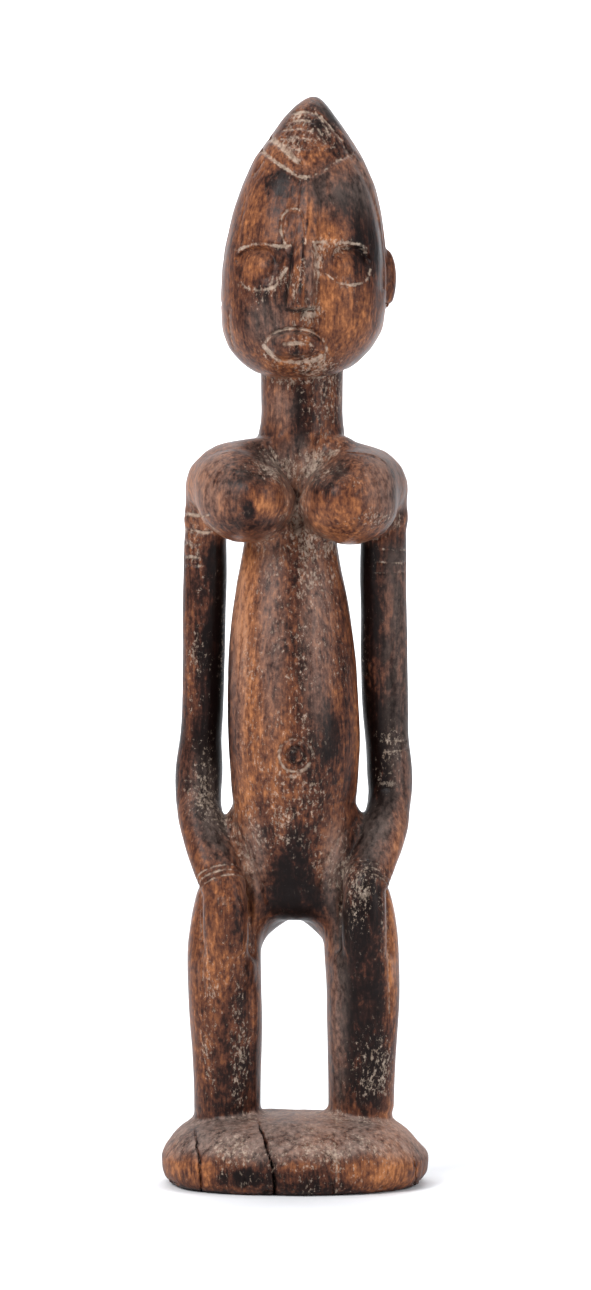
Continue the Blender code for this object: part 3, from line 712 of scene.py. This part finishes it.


# ---------------------------------------------------------------- what the surface has collected, with painted shade and sheen
CREASES = FIELD - softened(FIELD, 3.2)  # above 0 in hollows, below 0 on ridges
# The grey patches are mostly painted sheen: grey reflections on the rims and planes of the head, body and
# limbs.
PATCHES = (  # channel, anchor, across and up from it, half width, half height, amount
    ("dark", "face", (12.0, 30.0), 13.0, 14.0, 0.50),
    ("dark", "face", (-10.0, 30.5), 8.0, 6.0, 0.55),
    ("dark", "face", (-13.0, -20.0), 11.0, 13.0, 0.55),
    ("dark", "face", (24.0, 3.0), 6.0, 10.0, 0.95),
    ("dark", "face", (23.0, 18.0), 4.0, 12.0, 0.45),
    ("dark", "face", (-9.5, 0.5), 4.0, 5.5, 0.30),
    ("dark", "face", (11.0, -1.5), 4.5, 4.5, 0.45),
    ("dark", "face", (-3.5, -35.2), 7.0, 2.6, 0.60),
    ("worn", "face", (-16.0, 13.0), 8.0, 12.0, 0.55),
    ("worn", "face", (15.0, -22.0), 13.0, 13.0, 0.35),
    ("worn", "face", (9.0, 9.5), 8.0, 4.0, 0.55),
    ("worn", "face", (1.8, 22.0), 1.6, 12.0, 0.75),
    ("worn", "face", (-18.6, -2.2), 5.0, 4.5, 0.80),
    ("worn", "face", (16.8, -2.4), 4.5, 4.0, 0.65),
    ("dark", "face", (1.0, -41.0), 12.0, 4.0, 0.50),
    ("worn", "face", (-3.5, -20.5), 3.0, 3.0, 0.60),
    ("flecks", "face", (-3.4, -8.0), 2.6, 13.0, 0.35),
    ("flecks", "face", (10.0, 5.0), 10.0, 4.0, 0.80),
    ("flecks", "face", (5.5, 0.0), 3.0, 7.0, 0.80),
    ("flecks", "face", (2.0, -21.0), 7.0, 4.5, 0.60),
    ("flecks", "face", (-9.0, -8.0), 4.0, 5.0, 0.40),
    ("flecks", "face", (-16.0, -15.0), 9.0, 6.0, 0.35),
    ("flecks", "face", (0.0, -40.0), 9.0, 3.5, 0.75),
    ("dust", "face", (2.4, -20.8), 3.4, 1.3, 0.90),
    ("dark", "crown", (13.4, -21.4), 4.0, 3.5, 0.95),
    ("dark", "crown", (9.0, -38.0), 14.0, 5.0, 0.40),
    ("dark", "crown", (8.0, -9.0), 5.5, 9.0, 0.80),
    ("worn", "crown", (-3.0, -27.0), 7.0, 6.0, 0.45),
    ("dark", "crown", (-3.0, -14.0), 7.0, 9.0, 0.20),
    ("flecks", "crown", (-3.0, -16.0), 8.0, 9.0, 0.75),
    ("flecks", "crown", (9.0, -16.0), 6.0, 7.0, 0.45),
    ("dark", "neck", (0.0, -10.0), 4.5, 11.0, 1.25),
    ("worn", "neck", (-3.0, 9.5), 13.0, 4.5, 0.90),
    ("flecks", "neck", (10.0, 0.0), 9.0, 16.0, 0.95),
    ("flecks", "neck", (-8.0, 4.0), 5.0, 4.0, 0.70),
    ("dark", "shoulders", (-13.0, 8.0), 11.0, 10.0, 0.70),
    ("dark", "shoulders", (12.0, 4.0), 9.0, 8.0, 0.75),
    ("dark", "shoulders", (-18.0, -9.4), 2.0, 3.6, 1.40),
    ("dark", "shoulders", (-15.0, -15.0), 10.0, 4.0, 0.45),
    ("worn", "shoulders", (-12.5, -9.0), 6.0, 4.5, 0.75),
    ("worn", "shoulders", (-28.0, -6.0), 3.5, 5.0, 0.60),
    ("worn", "shoulders", (18.0, -9.5), 7.0, 4.5, 0.30),
    ("dark", "shoulders", (19.0, -8.0), 17.0, 13.0, 0.28),
    ("dust_film_and_sheen", "shoulders", (-34.0, 0.0), 10.0, 16.0, 0.80),
    ("dust_film_and_sheen", "shoulders", (36.0, 2.0), 10.0, 16.0, 0.90),
    ("dust_film_and_sheen", "shoulders", (0.5, -2.0), 5.0, 16.0, 0.70),
    ("flecks", "shoulders", (0.5, 8.0), 11.0, 9.0, 0.70),
    ("flecks", "shoulders", (0.0, -14.0), 7.0, 9.0, 0.55),
    ("flecks", "shoulders", (-12.0, 7.0), 8.0, 6.0, 0.60),
    ("flecks", "shoulders", (24.0, 4.0), 7.0, 6.0, 0.45),
    ("flecks", "shoulders", (30.0, -14.0), 12.0, 5.0, 0.60),
    ("flecks", "shoulders", (8.0, -23.0), 9.0, 5.0, 0.60),
    ("flecks", "torso", (5.0, 44.0), 14.0, 12.0, 0.40),
    ("flecks", "torso", (0.0, 0.0), 24.0, 46.0, 0.45),
    ("worn", "torso", (-17.0, 8.0), 6.0, 46.0, 0.75),
    ("dust_film_and_sheen", "torso", (9.0, 14.0), 6.0, 34.0, 0.75),
    ("dark", "torso", (3.0, 14.0), 3.5, 40.0, 0.15),
    ("dark", "torso", (11.0, -30.0), 6.0, 17.0, 0.75),
    ("dark", "torso", (18.0, -8.0), 6.0, 40.0, 0.40),
    ("dark", "torso", (-24.0, -14.0), 3.0, 30.0, 0.45),
    ("dark", "navel", (0.0, 0.0), 3.4, 3.4, 1.20),
    ("dust", "navel", (-0.5, -8.2), 3.6, 1.2, 0.70),
    ("flecks", "pelvis", (-3.0, 24.0), 15.0, 17.0, 0.65),
    ("flecks", "pelvis", (-16.0, 6.0), 8.0, 14.0, 0.35),
    ("flecks", "pelvis", (14.0, 2.0), 8.0, 16.0, 0.45),
    ("dark", "pelvis", (-14.0, 14.0), 9.0, 14.0, 0.30),
    ("dark", "pelvis", (0.0, 5.0), 6.5, 15.0, 0.70),
    ("dark", "pelvis", (0.5, -10.0), 13.0, 12.0, 0.75),
    ("dust_film_and_sheen", "pelvis", (-16.0, 4.0), 4.5, 15.0, 1.00),
    ("dust_film_and_sheen", "pelvis", (15.5, 2.0), 5.0, 16.0, 1.00),
    ("dust_film_and_sheen", "right_forearm", (4.0, 2.0), 8.0, 10.0, 0.35),
    ("flecks", "right_forearm", (1.0, 18.0), 12.0, 17.0, 0.85),
    ("dust_film_and_sheen", "right_forearm", (-1.0, 18.0), 10.0, 15.0, 0.50),
    ("dust_film_and_sheen", "left_forearm", (0.0, 2.0), 8.0, 12.0, 0.45),
    ("flecks", "left_forearm", (5.0, 30.0), 7.0, 14.0, 0.60),
    ("dust", "left_forearm", (5.0, 22.0), 6.0, 1.6, 0.60),
    ("flecks", "left_forearm", (-6.0, -12.0), 8.0, 6.0, 0.80),
    ("worn", "left_forearm", (9.0, 4.0), 3.0, 16.0, 0.50),
    ("dark", "left_upper_arm", (4.0, 0.0), 9.0, 60.0, 0.40),
    ("flecks", "right_upper_arm", (-2.0, 0.0), 6.0, 40.0, 0.35),
    ("dust_film_and_sheen", "torso", (-9.0, 14.0), 6.0, 40.0, 0.60),
    ("dust_film_and_sheen", "torso", (-21.0, 10.0), 4.0, 40.0, 0.70),
    ("dust_film_and_sheen", "shoulders", (0.0, 9.0), 12.0, 8.0, 0.60),
    ("dust_film_and_sheen", "face", (24.0, 32.0), 9.0, 14.0, 0.70),
    ("dust_film_and_sheen", "face", (8.0, 27.0), 9.0, 10.0, 0.45),
    ("dust_film_and_sheen", "face", (-13.0, -24.0), 9.0, 10.0, 0.55),
    ("dust_film_and_sheen", "face", (2.5, -5.0), 2.0, 12.0, 0.70),
    ("dust_film_and_sheen", "neck", (-8.0, -5.0), 5.0, 9.0, 0.60),
    ("worn", "right_hand", (-2.0, -4.0), 8.0, 20.0, 0.30),
    ("dark", "right_hand", (5.0, -6.0), 4.0, 30.0, 0.45),
    ("dust", "right_hand", (-1.0, 16.0), 5.0, 3.5, 0.35),
    ("dust", "left_hand", (0.0, 18.5), 4.5, 3.0, 0.60),
    ("dark", "left_hand", (-3.0, -4.0), 8.0, 22.0, 0.75),
    ("worn", "left_hand", (10.5, 0.0), 3.0, 20.0, 0.85),
    ("flecks", "left_hand", (0.0, 17.0), 8.0, 7.0, 0.55),
    ("worn", "right_leg", (-3.0, 22.0), 7.0, 26.0, 0.30),
    ("flecks", "right_leg", (-5.0, -8.0), 4.0, 26.0, 1.00),
    ("flecks", "right_leg", (6.0, -16.0), 4.5, 24.0, 1.10),
    ("flecks", "right_leg", (2.0, 30.0), 10.0, 18.0, 0.35),
    ("dark", "right_leg", (4.0, -24.0), 7.0, 22.0, 0.60),
    ("dark", "left_leg", (0.0, 10.0), 9.0, 50.0, 1.30),
    ("dark", "left_leg", (-1.0, -26.0), 11.0, 18.0, 0.85),
    ("worn", "left_leg", (10.0, 14.0), 3.5, 30.0, 0.75),
    ("flecks", "left_leg", (4.0, -26.0), 10.0, 18.0, 0.80),
    ("flecks", "left_leg", (2.0, 34.0), 9.0, 18.0, 0.25),
    ("dust_film_and_sheen", "left_leg", (-10.5, -5.0), 4.0, 40.0, 0.70),
    ("dark", "plinth", (-20.0, -6.5), 12.0, 3.6, 1.05),
    ("dark", "plinth", (10.0, -9.0), 14.0, 5.0, 0.60),
    ("worn", "plinth", (-40.0, -4.5), 12.0, 5.5, 0.75),
    ("worn", "plinth", (30.0, -4.5), 17.0, 5.5, 0.75),
    ("flecks", "plinth", (20.0, 3.0), 18.0, 6.0, 0.55),
    ("flecks", "plinth", (-22.0, 3.0), 14.0, 6.0, 0.60),
    ("flecks", "plinth", (0.0, -6.0), 50.0, 8.0, 0.35),
)
CHANNELS = ("dust", "flecks", "dust_film_and_sheen", "dark", "worn")


def painted(points, normals):
    """How much dust, flecks, grey dust and painted sheen, dark stains and painted shade, and bright wear each
    point gets, by channel.
    """
    x, y, z = points.T
    paint = {channel: np.zeros(len(points)) for channel in CHANNELS}
    front = 1 - ramp(y, -2, 12)
    for channel, name, (across, up), half_width, half_height, amount in PATCHES:
        centre = anchor(name)
        off = ((x - centre[0] - across) / half_width) ** 2 + ((z - centre[2] - up) / half_height) ** 2
        paint[channel] += amount * np.exp(-1.1 * off**1.5) * front
    crease = sampled(CREASES, points)
    hollow, ridge = ramp(crease, 0.12, 0.7), ramp(-crease, 0.15, 0.9)
    residue_and_shade, around = front_lines(points)[1:]
    uneven = 0.80 + 0.7 * noise(points, (3.0, 3.0, 3.0), 9) + 0.6 * noise(points, (1.0, 1.0, 1.0), 10)
    cuts = [np.maximum(residue_and_shade, 0), bracelets(points)[1], combed(points)[1], navel_ring(points)[1]]
    paint["dust"] += np.maximum.reduce(cuts) * np.maximum(uneven, 0.2) + 0.16 * hollow + 0.10 * around
    paint["flecks"] += 0.4 * hollow + 0.15 + 0.35 * around
    # dark stains along some lines, and painted shade beside and under the nose
    paint["dark"] += 1.1 * np.maximum(-residue_and_shade, 0)
    paint["worn"] += 0.30 * ridge
    # The arms: dark stains all round, painted shade on the faces turned towards the body, and painted sheen
    # on the left arm's outer faces.
    upper, lower = box("left_upper_arm"), box("left_forearm")
    arm = ramp(np.abs(x), 24, 27) * ramp(z, lower[0][2], lower[1][2])
    arm = arm * (1 - ramp(z, upper[1][2] - 10, upper[1][2]))
    inward = ramp(-normals[:, 0] * np.sign(x), -0.45, 0.35)
    paint["dark"] += arm * (0.25 + 1.15 * inward)
    paint["dust_film_and_sheen"] += arm * ramp(x, 20, 34) * (1 - inward) * 0.45
    top = box("plinth")[1][2]
    low = 1 - ramp(z, top, top + 8)
    paint["dust_film_and_sheen"] += low * ramp(normals[:, 2], 0.10, 0.75) * 1.3
    paint["flecks"] += low * ramp(normals[:, 2], 0.1, 0.7) * 0.3
    paint["dark"] += 1.6 * ramp(cracks(points), 0.6, 1.2) + 0.5 * (1 - ramp(z, 0.5, 3.0))
    paint["dust_film_and_sheen"] += 0.3 * ramp(normals[:, 2], 0.3, 0.9)
    rear = ramp(y, 0, 12)
    broad = noise(points, (22, 22, 45), 7)
    paint["dark"] += rear * ramp(broad, 0.0, 0.5) * 0.6
    paint["worn"] += rear * ramp(-broad, 0.0, 0.5) * 0.5
    return {channel: np.clip(values, 0, 1.4) for channel, values in paint.items()}


# ---------------------------------------------------------------- wood
def linear(*colour):
    """A display colour from 0 to 255 as a linear RGBA colour."""
    shares = [c / 255 for c in colour]
    return (*(s / 12.92 if s <= 0.04045 else ((s + 0.055) / 1.055) ** 2.4 for s in shares), 1.0)


class Graph:
    """A short way to write a material's nodes."""

    def __init__(self, name):
        self.material = bpy.data.materials.new(name)
        self.material.use_nodes = True
        self.tree = self.material.node_tree
        self.shader = self.tree.nodes["Principled BSDF"]
        self.place = self.node("ShaderNodeTexCoord").outputs["Object"]

    def node(self, kind, **settings):
        made = self.tree.nodes.new(kind)
        for name, value in settings.items():
            setattr(made, name, value)
        return made

    def set(self, socket, value):
        if isinstance(value, bpy.types.NodeSocket):
            self.tree.links.new(value, socket)
        else:
            socket.default_value = value

    def math(self, operation, *values, clamp=False):
        made = self.node("ShaderNodeMath", operation=operation, use_clamp=clamp)
        for socket, value in zip(made.inputs, values):
            self.set(socket, value)
        return made.outputs[0]

    def sum(self, *terms):
        """The sum of values and of (factor, value) pairs."""
        total = 0.0
        for term in terms:
            factor, value = term if isinstance(term, tuple) else (1.0, term)
            total = self.math("MULTIPLY_ADD", value, factor, total)
        return total

    def noise(self, size, stretch, detail=2.0, roughness=0.55, warp=0.0):
        """Noise whose lumps are about size wide and stretch times as tall, in mm."""
        mapping = self.node("ShaderNodeMapping")
        self.set(mapping.inputs["Vector"], self.place)
        mapping.inputs["Scale"].default_value = (1 / (size * MM), 1 / (size * MM), 1 / (size * stretch * MM))
        made = self.node("ShaderNodeTexNoise")
        self.set(made.inputs["Vector"], mapping.outputs[0])
        made.inputs["Scale"].default_value = 0.5
        made.inputs["Detail"].default_value = detail
        made.inputs["Roughness"].default_value = roughness
        made.inputs["Distortion"].default_value = warp
        return made.outputs["Fac"]

    def attribute(self, name):
        return self.node("ShaderNodeAttribute", attribute_name=name).outputs["Fac"]

    def range(self, value, start, end):
        made = self.node("ShaderNodeMapRange", interpolation_type="SMOOTHSTEP")
        for name, setting in (("Value", value), ("From Min", start), ("From Max", end)):
            self.set(made.inputs[name], setting)
        return made.outputs["Result"]

    def ramp(self, value, *stops):
        made = self.node("ShaderNodeValToRGB")
        self.set(made.inputs["Fac"], value)
        elements = made.color_ramp.elements
        while len(elements) < len(stops):
            elements.new(0.5)
        for element, (position, colour) in zip(elements, stops):
            element.position, element.color = position, linear(*colour)
        return made.outputs["Color"]

    def mix(self, factor, a, b):
        made = self.node("ShaderNodeMix", data_type="RGBA")
        self.set(made.inputs["Factor"], factor)
        self.set(made.inputs["A"], a)
        self.set(made.inputs["B"], b)
        return made.outputs["Result"]


def wood(name, tone, gloss, grain_share=1.0):
    """Old oiled wood: streaked, stained and darkened with painted shade, rubbed bright where it is handled,
    dusty where it is not, and greyed with painted sheen.
    """
    graph = Graph(name)
    dust, flecks, dust_film_and_sheen, dark, worn = (graph.attribute(channel) for channel in CHANNELS)
    broad = graph.noise(13, 3.0, detail=3)
    streak = graph.noise(2.2, 12.0, detail=3, warp=0.4)
    fibre = graph.noise(0.5, 10.0, detail=2)
    mottle = graph.noise(0.9, 1.5, detail=3, roughness=0.65)
    blotch = graph.noise(5.0, 2.0, detail=4, roughness=0.6, warp=0.6)
    stain_and_shade = graph.math("MULTIPLY", dark, graph.sum((0.65, graph.range(blotch, 0.38, 0.56)), 0.35))
    stain_and_shade = graph.math("MINIMUM", stain_and_shade, 0.92)
    value = graph.sum((0.90, broad), (0.36 * grain_share, streak), (0.52, fibre), (0.92, mottle),
                      (0.26, worn), (-0.50, stain_and_shade), tone - 1.360)
    colour = graph.ramp(value, (0.02, (18, 9, 8)), (0.25, (38, 21, 17)), (0.46, (82, 48, 35)),
                        (0.65, (123, 75, 48)), (0.86, (170, 110, 68)))
    # the grey of settled dust and of painted sheen
    sheen_and_dust_haze = graph.math("MULTIPLY", dust_film_and_sheen, graph.range(graph.sum((0.5, mottle), (0.5, streak)), 0.28, 0.68))
    colour = graph.mix(graph.math("MULTIPLY", sheen_and_dust_haze, 0.48, clamp=True), colour, linear(158, 138, 128))
    speck = graph.noise(0.6, 1.6, detail=4, roughness=0.75)
    cluster = graph.noise(5.0, 2.4, detail=3)
    spots = graph.sum(speck, (0.35, cluster), (0.14, flecks), -0.235)
    spots = graph.math("MULTIPLY", graph.range(spots, 0.58, 0.70), graph.range(flecks, 0.0, 0.5))
    settled = graph.sum((0.42, dust), (0.90, speck), (0.40, cluster), -0.60)
    settled = graph.math("MULTIPLY", graph.range(settled, 0.16, 0.50), graph.range(dust, 0.05, 0.40))
    pale = graph.math("MAXIMUM", graph.math("MULTIPLY", spots, 0.55), graph.math("MULTIPLY", settled, 0.66))
    chalk = graph.ramp(mottle, (0.35, (146, 124, 106)), (0.65, (202, 184, 166)))
    graph.set(graph.shader.inputs["Base Color"], graph.mix(pale, colour, chalk))
    rough = graph.sum((0.22, mottle), (0.14, streak), (0.30, pale), (0.18, sheen_and_dust_haze), gloss)
    graph.set(graph.shader.inputs["Roughness"], graph.math("MINIMUM", rough, 0.9))
    graph.shader.inputs["Specular IOR Level"].default_value = 0.12
    bump = graph.node("ShaderNodeBump")
    graph.set(bump.inputs["Height"], graph.sum((0.7, fibre), (0.8, mottle), (0.5, streak), (0.25, pale)))
    bump.inputs["Distance"].default_value = 0.25 * MM
    bump.inputs["Strength"].default_value = 0.55
    graph.set(graph.shader.inputs["Normal"], bump.outputs["Normal"])
    return graph.material


WOODS = {"worn_wood": wood("worn_wood", 0.50, 0.18), "dark_wood": wood("dark_wood", 0.45, 0.16),
         "scuffed_wood": wood("scuffed_wood", 0.53, 0.32, 0.7)}
DARK_MEMBERS = ("coiffure", "neck", "navel", "right_upper_arm", "left_upper_arm")


def slot_of(node):
    if node == "plinth":
        return "scuffed_wood"
    return "dark_wood" if node in DARK_MEMBERS else "worn_wood"


# ---------------------------------------------------------------- the pieces
def finished(node, mesh):
    """A member as a piece of the model: shaded, painted, in metres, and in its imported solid's place."""
    points = coordinates(mesh)
    slots = np.empty(len(mesh.polygons), np.int32)
    mesh.polygons.foreach_get("material_index", slots)
    slope = gradient(points, 0.25)
    normals = slope / np.linalg.norm(slope, axis=1)[:, None]
    for channel, values in painted(points, normals).items():
        layer = mesh.attributes.new(channel, "FLOAT", "POINT")
        layer.data.foreach_set("value", values.astype(np.float32))
    corners = np.empty(len(mesh.loops), np.int32)
    mesh.loops.foreach_get("vertex_index", corners)
    counts = np.empty(len(mesh.polygons), np.int32)
    mesh.polygons.foreach_get("loop_total", counts)
    flat = np.empty(3 * len(mesh.polygons), np.float32)
    mesh.polygons.foreach_get("normal", flat)
    flat = np.repeat(flat.reshape(-1, 3), counts, axis=0)
    shading = np.where(np.repeat(slots == CUT, counts)[:, None], flat, normals[corners])
    mesh.vertices.foreach_set("co", (points * MM).ravel())
    mesh.materials.clear()
    mesh.materials.append(WOODS[slot_of(node)])
    mesh.polygons.foreach_set("material_index", [0] * len(mesh.polygons))
    mesh.polygons.foreach_set("use_smooth", [True] * len(mesh.polygons))
    mesh.update()
    mesh.normals_split_custom_set(shading.tolist())
    piece = bpy.data.objects.new("carved_" + node, mesh)
    bpy.context.scene.collection.objects.link(piece)
    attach(piece, "root")
    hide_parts(node)


figure = refined(carved_mesh(), detail)
figure.vertices.foreach_set("co", drawn(coordinates(figure), 2).ravel())
for member, shape in parted(figure).items():
    finished(member, cleaned(shape))


# ---------------------------------------------------------------- camera, floor and light
def aimed(obj, place, target):
    obj.location = place
    obj.rotation_euler = (Vector(target) - Vector(place)).to_track_quat("-Z", "Y").to_euler()
    bpy.context.scene.collection.objects.link(obj)


def make_camera():
    """A long-lens view straight from the front, a little above the middle of the figure."""
    low, high = CAD_BOX
    across, centre = (low[0] + high[0]) / 2 + 0.0002, (low[2] + high[2]) / 2
    data = bpy.data.cameras.new("camera")
    data.sensor_fit = "VERTICAL"
    data.angle = 2 * math.atan(0.249 / 2.0)
    camera = bpy.data.objects.new("camera", data)
    aimed(camera, (across, -2.0, centre + 0.07), (across, 0, centre - 0.0015))
    bpy.context.scene.camera = camera


def area_light(name, place, size, watts, target=(0, 0, 0.21)):
    data = bpy.data.lights.new(name, "AREA")
    data.shape = "RECTANGLE"
    data.size, data.size_y = size
    data.energy = watts
    aimed(bpy.data.objects.new(name, data), place, target)


def make_stage():
    """A seamless pale floor that curves up into a wall, far behind the figure."""
    half_width, front, bend, radius, height = 9.0, -8.0, 4.0, 2.0, 9.0
    profile = [(front, 0.0), (bend, 0.0)]
    for step in range(1, 13):
        turn = step / 12 * math.pi / 2
        profile.append((bend + radius * math.sin(turn), radius * (1 - math.cos(turn))))
    profile.append((bend + radius, height))
    mesh = bpy.data.meshes.new("stage")
    points = [(side * half_width, y, z) for y, z in profile for side in (-1, 1)]
    faces = [(i, i + 1, i + 3, i + 2) for i in range(0, len(points) - 2, 2)]
    mesh.from_pydata(points, [], faces)
    mesh.polygons.foreach_set("use_smooth", [True] * len(faces))
    graph = Graph("stage_paper")
    fleck = graph.noise(40, 1.0)
    paper = graph.ramp(fleck, (0.3, (243, 244, 246)), (0.7, (247, 248, 250)))
    graph.set(graph.shader.inputs["Base Color"], paper)
    graph.shader.inputs["Roughness"].default_value = 0.9
    mesh.materials.append(graph.material)
    stage = bpy.data.objects.new("stage", mesh)
    bpy.context.scene.collection.objects.link(stage)


make_camera()
make_stage()
area_light("key", (-1.0, -1.2, 1.3), (0.8, 0.8), 30)
area_light("fill", (1.3, -0.9, 0.7), (0.6, 1.2), 11)
area_light("backdrop", (0.0, 2.0, 4.5), (4.0, 2.0), 400, target=(0.0, 6.0, 1.2))
world = bpy.data.worlds.new("studio")
world.use_nodes = True
sky = world.node_tree.nodes["Background"]
sky.inputs["Color"].default_value = (0.93, 0.95, 1.0, 1.0)
sky.inputs["Strength"].default_value = 0.42
bpy.context.scene.world = world
bpy.context.scene.view_settings.view_transform = "Standard"
